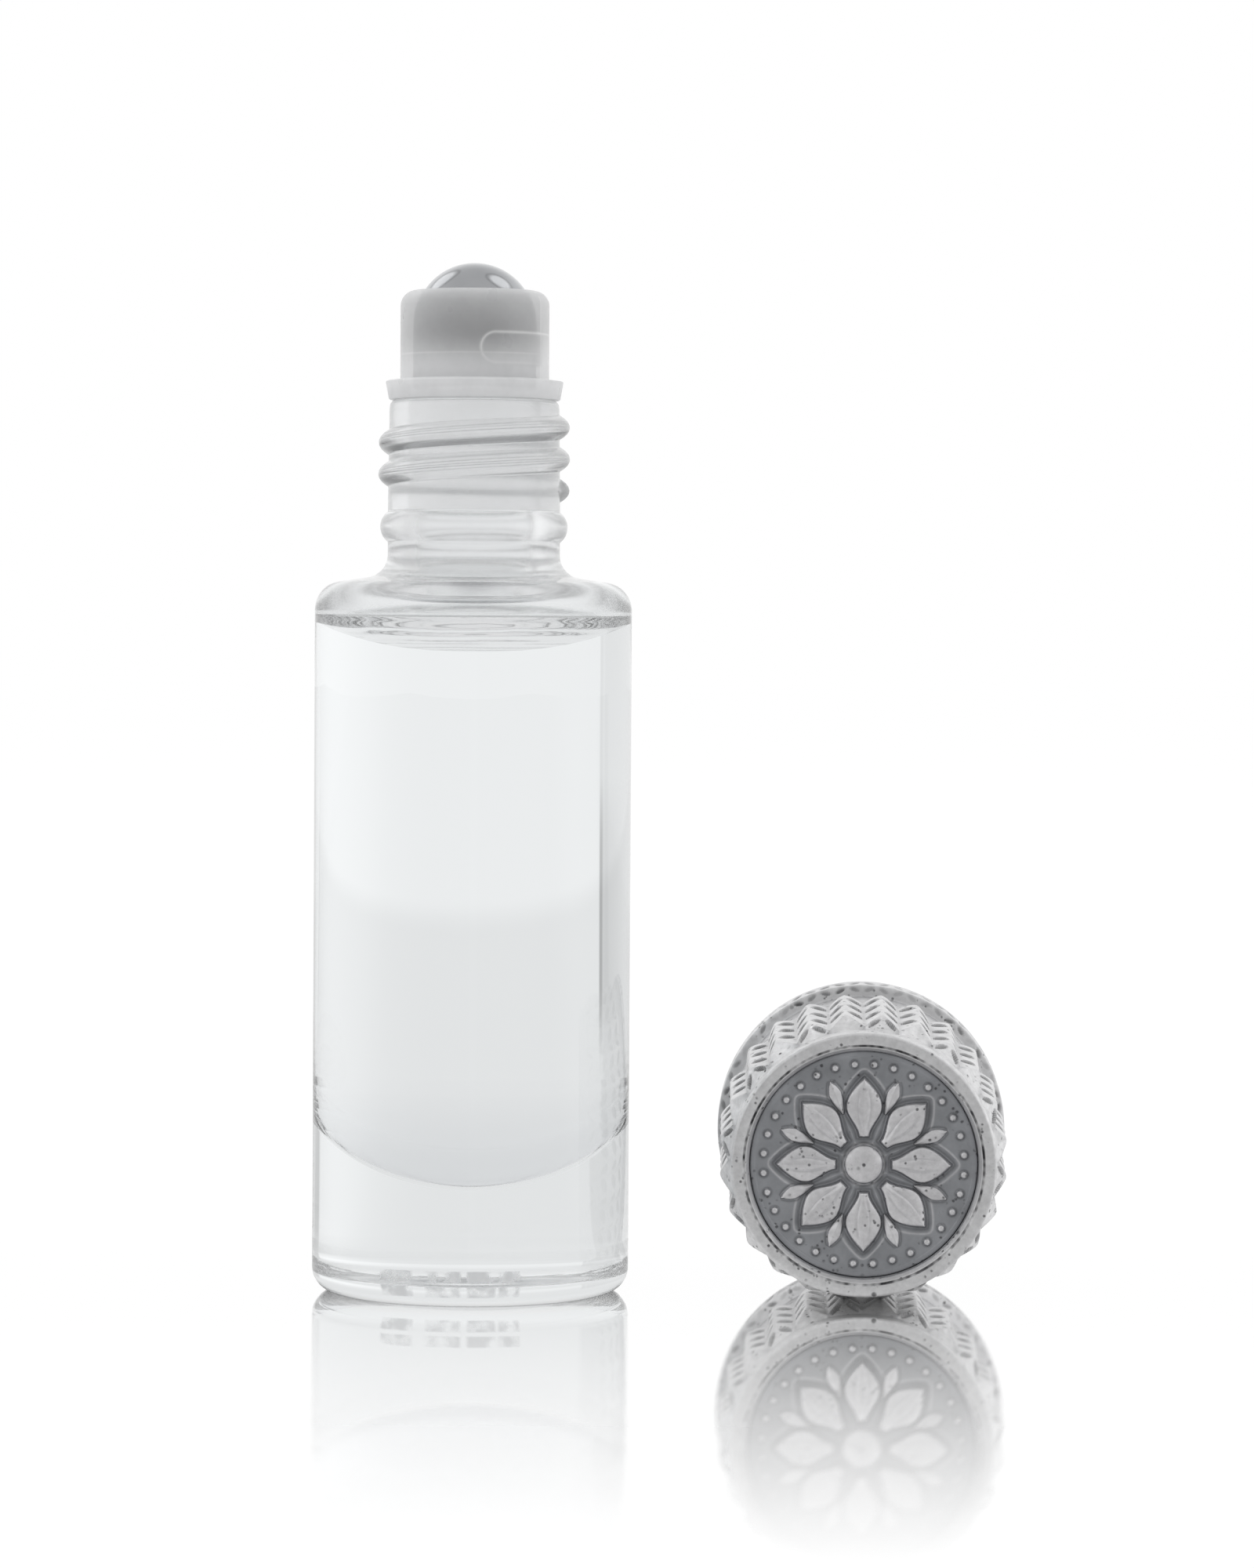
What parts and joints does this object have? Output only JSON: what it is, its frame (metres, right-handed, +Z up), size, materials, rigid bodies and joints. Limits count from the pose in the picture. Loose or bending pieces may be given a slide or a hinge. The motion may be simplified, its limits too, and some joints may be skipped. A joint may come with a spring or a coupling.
{
  "type": "roll on bottle",
  "caption": "Clear cylindrical glass roll-on bottle filled with liquid, its steel ball in a translucent plug, beside its cast metal screw cap with plaited ribs and a rosette medallion.",
  "frame": {"origin": "centre of the bottle's foot, on the surface it stands on", "axes": "+Z up along the bottle's axis, +X towards the cap beside it, -Y towards the viewer of the picture and the way the lying cap's face looks"},
  "size_m": [0.0469, 0.0256, 0.0681],
  "materials": {
    "clear_glass": "clear, fire polished",
    "clear_liquid": "clear colourless liquid",
    "translucent_plastic": "natural translucent",
    "white_plastic": "natural white",
    "polished_steel": "polished stainless steel",
    "cast_silver": "satin cast metal with small pits",
    "cast_silver_dark": "satin cast metal, darkened in its low parts",
    "liner_plastic": "natural white",
    "foam_pad": "white foam"
  },
  "bodies": {
    "bottle": {"glass_bottle": "clear_glass", "liquid_fill": "clear_liquid", "roller_housing": "translucent_plastic", "ball_seat": "white_plastic"},
    "ball": {"roller_ball": "polished_steel"},
    "cap": {"cap_shell": "cast_silver", "cap_medallion": "cast_silver_dark", "cap_liner": "liner_plastic", "cap_seal_pad": "foam_pad"}
  },
  "joints": [
    {"name": "roller_spin", "type": "hinge", "parent": "bottle", "child": "ball", "pos_m": [0, 0, 0.0641], "axis": [1, 0, 0], "continuous": true},
    {"name": "cap_lift", "type": "slide", "parent": "bottle", "child": "cap", "axis": [0, 0, 1], "range_m": [0, 0.07]}
  ]
}
